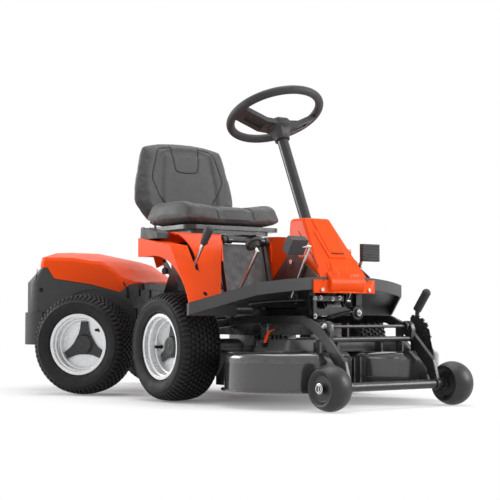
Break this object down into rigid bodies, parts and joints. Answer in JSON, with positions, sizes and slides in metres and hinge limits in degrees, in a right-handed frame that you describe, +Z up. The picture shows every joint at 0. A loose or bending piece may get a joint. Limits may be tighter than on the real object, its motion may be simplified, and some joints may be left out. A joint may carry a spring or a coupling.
{
  "type": "riding lawn mower",
  "caption": "Articulated riding lawn mower with a front cutting deck on support wheels, rear engine under a tilting hood, padded seat, tilted steering column and pedals.",
  "frame": {"origin": "middle of the object's footprint on the ground, as it stands with the rear section swung to its right", "axes": "+X is the front section's forward direction, +Y is to its left, +Z is up"},
  "size_m": [1.8313, 1.0185, 1.0515],
  "materials": {
    "orange_cover": "moulded, satin gloss",
    "dark_plastic": "fine grained",
    "grey_plastic": "fine grained",
    "frame_paint": "powder coated",
    "deck_paint": "powder coated",
    "cover_plastic": "fine grained",
    "foot_coat": "powder coated with grip pattern",
    "rim_silver": "silver lacquer",
    "cap_plastic": "moulded",
    "tyre_rubber": "moulded block tread",
    "support_rubber": "smooth moulded",
    "seat_vinyl": "grained vinyl",
    "grip_rubber": "soft moulded",
    "bright_steel": "zinc plated",
    "blade_steel": "black oxide",
    "cast_alloy": "as cast",
    "muffler_steel": "heat tinted",
    "battery_case": "moulded"
  },
  "bodies": {
    "front_section": {"front_frame": "frame_paint", "pivot_pin": "bright_steel", "transaxle": "cast_alloy", "footplate": "foot_coat", "right_fender": "orange_cover", "left_fender": "orange_cover", "control_panel": "dark_plastic", "seat_pedestal": "dark_plastic", "steering_cables": "bright_steel", "steering_column": "frame_paint", "steering_cover": "orange_cover", "body_screws": "bright_steel"},
    "rear_section": {"rear_frame": "frame_paint", "rear_axle": "cast_alloy", "rear_casing": "grey_plastic", "front_shield": "grey_plastic", "engine_block": "cast_alloy", "engine_shroud": "dark_plastic", "muffler": "muffler_steel", "battery": "battery_case"},
    "hood": {"hood": "orange_cover", "hood_trim": "dark_plastic"},
    "steering_wheel": {"steering_shaft": "bright_steel", "steering_hub": "dark_plastic", "steering_ring": "grip_rubber"},
    "seat_base": {"seat_rails": "frame_paint"},
    "seat": {"seat_pan": "frame_paint", "seat_cushion": "seat_vinyl", "seat_backrest": "seat_vinyl"},
    "front_right_wheel": {"front_right_tyre": "tyre_rubber", "front_right_rim": "rim_silver", "front_right_cap": "cap_plastic"},
    "front_left_wheel": {"front_left_tyre": "tyre_rubber", "front_left_rim": "rim_silver", "front_left_cap": "cap_plastic"},
    "rear_right_wheel": {"rear_right_tyre": "tyre_rubber", "rear_right_rim": "rim_silver", "rear_right_cap": "cap_plastic"},
    "rear_left_wheel": {"rear_left_tyre": "tyre_rubber", "rear_left_rim": "rim_silver", "rear_left_cap": "cap_plastic"},
    "deck_carrier": {"deck_frame": "frame_paint"},
    "deck": {"deck_shell": "deck_paint", "belt_cover": "cover_plastic", "deck_belt": "grip_rubber"},
    "height_lever": {"height_lever": "grip_rubber"},
    "right_support": {"right_support_wheel": "support_rubber"},
    "left_support": {"left_support_wheel": "support_rubber"},
    "right_blade": {"right_blade": "blade_steel"},
    "left_blade": {"left_blade": "blade_steel"},
    "lift_lever": {"lift_lever_rod": "bright_steel", "lift_lever_grip": "grip_rubber"},
    "drive_pedal": {"drive_pedal_arm": "bright_steel", "drive_pedal_pad": "grip_rubber"},
    "reverse_pedal": {"reverse_pedal_arm": "bright_steel", "reverse_pedal_pad": "grip_rubber"},
    "brake_pedal": {"brake_pedal_arm": "bright_steel", "brake_pedal_pad": "grip_rubber"},
    "throttle_lever": {"throttle_lever": "grip_rubber"},
    "ignition_key": {"ignition_key": "bright_steel"}
  },
  "joints": [
    {"name": "articulation", "type": "hinge", "parent": "front_section", "child": "rear_section", "pos_m": [-0.318, 0.0745, 0.25], "axis": [0, 0, 1], "range_deg": [-76, 4]},
    {"name": "steering", "type": "hinge", "parent": "front_section", "child": "steering_wheel", "pos_m": [0.545, 0.0745, 0.33], "axis": [-0.4147, 0, 0.91], "range_deg": [-48, 912]},
    {"name": "hood_hinge", "type": "hinge", "parent": "rear_section", "child": "hood", "pos_m": [-0.75163, -0.24055, 0.38], "axis": [0.5878, -0.809, 0], "range_deg": [0, 65]},
    {"name": "seat_tilt", "type": "hinge", "parent": "front_section", "child": "seat_base", "pos_m": [0.076, 0.0745, 0.545], "axis": [0, 1, 0], "range_deg": [0, 50]},
    {"name": "seat_slide", "type": "slide", "parent": "seat_base", "child": "seat", "axis": [1, 0, 0], "range_m": [-0.02, 0.06]},
    {"name": "front_right_spin", "type": "hinge", "parent": "front_section", "child": "front_right_wheel", "pos_m": [0.182, -0.283, 0.179], "axis": [0, 1, 0], "continuous": true},
    {"name": "front_left_spin", "type": "hinge", "parent": "front_section", "child": "front_left_wheel", "pos_m": [0.182, 0.432, 0.179], "axis": [0, 1, 0], "continuous": true},
    {"name": "rear_right_spin", "type": "hinge", "parent": "rear_section", "child": "rear_right_wheel", "pos_m": [-0.30203, -0.35579, 0.179], "axis": [-0.5878, 0.809, 0], "continuous": true},
    {"name": "rear_left_spin", "type": "hinge", "parent": "rear_section", "child": "rear_left_wheel", "pos_m": [-0.7223, 0.22265, 0.179], "axis": [-0.5878, 0.809, 0], "continuous": true},
    {"name": "deck_lift", "type": "hinge", "parent": "front_section", "child": "deck_carrier", "pos_m": [0.157, 0.0745, 0.25], "axis": [0, -1, 0], "range_deg": [0, 7]},
    {"name": "lift_lever_swing", "type": "hinge", "parent": "front_section", "child": "lift_lever", "pos_m": [0.107, -0.1805, 0.27], "axis": [0, -1, 0], "range_deg": [0, 28]},
    {"name": "deck_height", "type": "slide", "parent": "deck_carrier", "child": "deck", "axis": [0, 0, 1], "range_m": [-0.02, 0.016]},
    {"name": "height_lever_swing", "type": "hinge", "parent": "deck", "child": "height_lever", "pos_m": [0.682, 0.0745, 0.205], "axis": [0, 1, 0], "range_deg": [-24, 30]},
    {"name": "right_support_spin", "type": "hinge", "parent": "deck_carrier", "child": "right_support", "pos_m": [0.847, -0.1745, 0.06875], "axis": [0, 1, 0], "continuous": true},
    {"name": "left_support_spin", "type": "hinge", "parent": "deck_carrier", "child": "left_support", "pos_m": [0.847, 0.3235, 0.06875], "axis": [0, 1, 0], "continuous": true},
    {"name": "right_blade_spin", "type": "hinge", "parent": "deck", "child": "right_blade", "pos_m": [0.567, -0.1155, 0.07], "axis": [0, 0, 1], "continuous": true},
    {"name": "left_blade_spin", "type": "hinge", "parent": "deck", "child": "left_blade", "pos_m": [0.567, 0.2645, 0.07], "axis": [0, 0, 1], "continuous": true},
    {"name": "drive_pedal_swing", "type": "hinge", "parent": "front_section", "child": "drive_pedal", "pos_m": [0.492, -0.0435, 0.33], "axis": [0, 1, 0], "range_deg": [-15, 15], "stiffness_Nm_per_rad": 20},
    {"name": "reverse_pedal_swing", "type": "hinge", "parent": "front_section", "child": "reverse_pedal", "pos_m": [0.282, -0.1405, 0.285], "axis": [0, 1, 0], "range_deg": [-14, 14]},
    {"name": "brake_pedal_swing", "type": "hinge", "parent": "front_section", "child": "brake_pedal", "pos_m": [0.492, 0.1925, 0.33], "axis": [0, 1, 0], "range_deg": [0, 15], "stiffness_Nm_per_rad": 20, "springref_deg": -5.73},
    {"name": "throttle_swing", "type": "hinge", "parent": "front_section", "child": "throttle_lever", "pos_m": [0.097, -0.3115, 0.556], "axis": [0, 1, 0], "range_deg": [-25, 25]},
    {"name": "key_turn", "type": "hinge", "parent": "front_section", "child": "ignition_key", "pos_m": [0.047, -0.3115, 0.57], "axis": [0, 0, 1], "range_deg": [-90, 0]}
  ],
  "couplings": [
    {"joint": "steering", "follows": "articulation", "ratio": -12},
    {"joint": "lift_lever_swing", "follows": "deck_lift", "ratio": 4},
    {"joint": "height_lever_swing", "follows": "deck_height", "rad_per_m": -24.2},
    {"joint": "left_blade_spin", "follows": "right_blade_spin", "ratio": 1},
    {"joint": "reverse_pedal_swing", "follows": "drive_pedal_swing", "ratio": -0.9}
  ]
}
